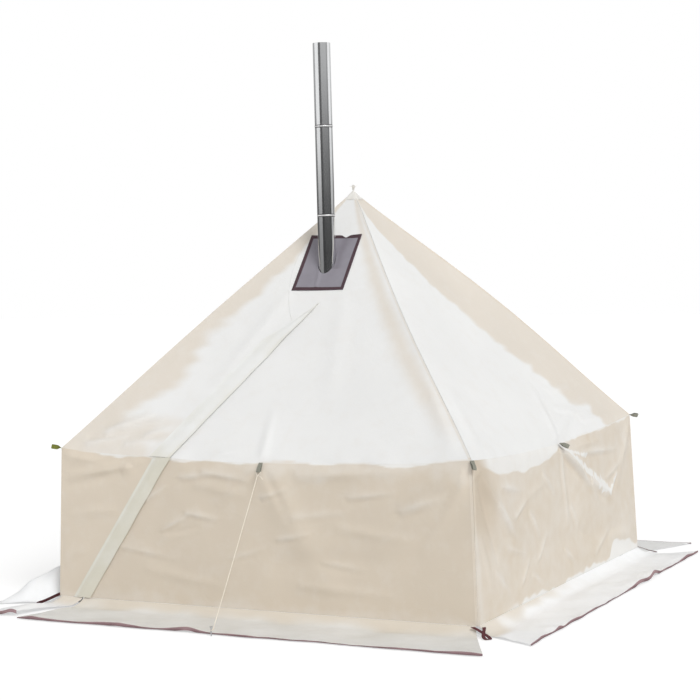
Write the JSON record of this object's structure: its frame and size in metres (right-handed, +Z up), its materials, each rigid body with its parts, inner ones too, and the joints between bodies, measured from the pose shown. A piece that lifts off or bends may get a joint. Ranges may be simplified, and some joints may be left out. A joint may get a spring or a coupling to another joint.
{
  "type": "hot tent",
  "caption": "Square canvas tent with a pyramid roof, low walls, a zipped corner door, ground flaps and a wood stove whose steel pipe leaves through the roof.",
  "frame": {"origin": "centre of the tent's square plan, on the ground", "axes": "+Z up; the front wall, with the door at its left end, faces -Y; +X is to the right seen from the front"},
  "size_m": [3.566, 3.8335, 3.426],
  "materials": {
    "roof_canvas": "off-white canvas",
    "wall_canvas": "beige canvas",
    "door_canvas": "beige canvas",
    "flap_canvas": "grey-beige canvas",
    "sod_fabric": "pale coated cloth",
    "jack_fabric": "grey heat-proof cloth",
    "binding_tape": "dark brown woven tape",
    "zip_fabric": "dark zip",
    "black_metal": "black enamel",
    "grey_webbing": "grey webbing",
    "green_webbing": "olive webbing",
    "brown_webbing": "dark red-brown webbing",
    "cream_cord": "cream cord",
    "frame_steel": "brushed tube",
    "pipe_steel": "polished stainless steel",
    "stove_steel": "matt black"
  },
  "bodies": {
    "tent": {"roof_front": "roof_canvas", "wall_front": "wall_canvas", "sod_front": "sod_fabric", "eave_loop_front": "grey_webbing", "roof_right": "roof_canvas", "wall_right": "wall_canvas", "eave_loop_right": "grey_webbing", "roof_back": "roof_canvas", "wall_back": "wall_canvas", "eave_loop_back": "grey_webbing", "roof_left": "roof_canvas", "wall_left": "wall_canvas", "eave_loop_left": "grey_webbing", "eave_loop_front_left": "green_webbing", "stake_loop_front_left": "brown_webbing", "rafter_front_left": "frame_steel", "elbow_front_left": "frame_steel", "leg_front_left": "frame_steel", "eave_loop_front_right": "grey_webbing", "stake_loop_front_right": "brown_webbing", "rafter_front_right": "frame_steel", "elbow_front_right": "frame_steel", "leg_front_right": "frame_steel", "eave_loop_back_right": "grey_webbing", "stake_loop_back_right": "brown_webbing", "rafter_back_right": "frame_steel", "elbow_back_right": "frame_steel", "leg_back_right": "frame_steel", "eave_loop_back_left": "grey_webbing", "stake_loop_back_left": "brown_webbing", "rafter_back_left": "frame_steel", "elbow_back_left": "frame_steel", "leg_back_left": "frame_steel", "peak_loop": "grey_webbing", "peak_hub": "frame_steel", "stove_jack": "jack_fabric", "jack_binding": "binding_tape", "storm_flap_roof": "flap_canvas", "zip_roof": "zip_fabric", "zip_wall": "zip_fabric", "guy_line": "cream_cord", "guy_peg": "frame_steel", "stove_body": "stove_steel"},
    "door": {"door_panel": "door_canvas", "storm_flap_wall": "flap_canvas", "zip_door": "zip_fabric", "sod_door": "sod_fabric"},
    "slider": {"zip_slider": "black_metal"},
    "sod_right": {"sod_right": "sod_fabric"},
    "sod_back": {"sod_back": "sod_fabric"},
    "sod_left": {"sod_left": "sod_fabric"},
    "pipe_1": {"pipe_1": "pipe_steel"},
    "pipe_2": {"pipe_2": "pipe_steel"},
    "pipe_3": {"pipe_3": "pipe_steel"},
    "pipe_4": {"pipe_4": "pipe_steel"},
    "pipe_5": {"pipe_5": "pipe_steel"},
    "damper": {"pipe_damper": "stove_steel"},
    "stove_door": {"stove_door": "stove_steel"},
    "air_wheel": {"stove_air_wheel": "stove_steel"},
    "latch": {"stove_latch": "stove_steel"}
  },
  "joints": [
    {"name": "door_swing", "type": "hinge", "parent": "tent", "child": "door", "pos_m": [-1.4015, -1.4015, 0.05], "axis": [0.0328, 0.0328, 0.9989], "range_deg": [-55, 0]},
    {"name": "zip_travel", "type": "slide", "parent": "tent", "child": "slider", "axis": [0.5598, 0.0272, 0.8282], "range_m": [0, 0.94]},
    {"name": "sod_right_lift", "type": "hinge", "parent": "tent", "child": "sod_right", "pos_m": [1.403, 0, 0.0483], "axis": [0, -1, 0], "range_deg": [0, 55]},
    {"name": "sod_back_lift", "type": "hinge", "parent": "tent", "child": "sod_back", "pos_m": [0, 1.403, 0.0483], "axis": [1, 0, 0], "range_deg": [0, 55]},
    {"name": "sod_left_lift", "type": "hinge", "parent": "tent", "child": "sod_left", "pos_m": [-1.403, 0, 0.0483], "axis": [0, 1, 0], "range_deg": [0, 55]},
    {"name": "pipe_1_lift", "type": "slide", "parent": "tent", "child": "pipe_1", "axis": [0, 0, 1], "range_m": [0, 0.06]},
    {"name": "pipe_2_lift", "type": "slide", "parent": "pipe_1", "child": "pipe_2", "axis": [0, 0, 1], "range_m": [0, 0.06]},
    {"name": "pipe_3_lift", "type": "slide", "parent": "pipe_2", "child": "pipe_3", "axis": [0, 0, 1], "range_m": [0, 0.06]},
    {"name": "pipe_4_lift", "type": "slide", "parent": "pipe_3", "child": "pipe_4", "axis": [0, 0, 1], "range_m": [0, 0.06]},
    {"name": "pipe_5_lift", "type": "slide", "parent": "pipe_4", "child": "pipe_5", "axis": [0, 0, 1], "range_m": [0, 0.06]},
    {"name": "damper_turn", "type": "hinge", "parent": "pipe_1", "child": "damper", "pos_m": [0, -0.39, 0.801], "axis": [1, 0, 0], "range_deg": [0, 90]},
    {"name": "stove_door_swing", "type": "hinge", "parent": "tent", "child": "stove_door", "pos_m": [-0.104, -0.0203, 0.425], "axis": [0, 0, 1], "range_deg": [0, 110]},
    {"name": "air_wheel_turn", "type": "hinge", "parent": "stove_door", "child": "air_wheel", "pos_m": [0, -0.02, 0.39], "axis": [0, 1, 0], "range_deg": [0, 60]},
    {"name": "latch_turn", "type": "hinge", "parent": "stove_door", "child": "latch", "pos_m": [0.082, -0.02, 0.46], "axis": [0, 1, 0], "range_deg": [0, 90]}
  ]
}
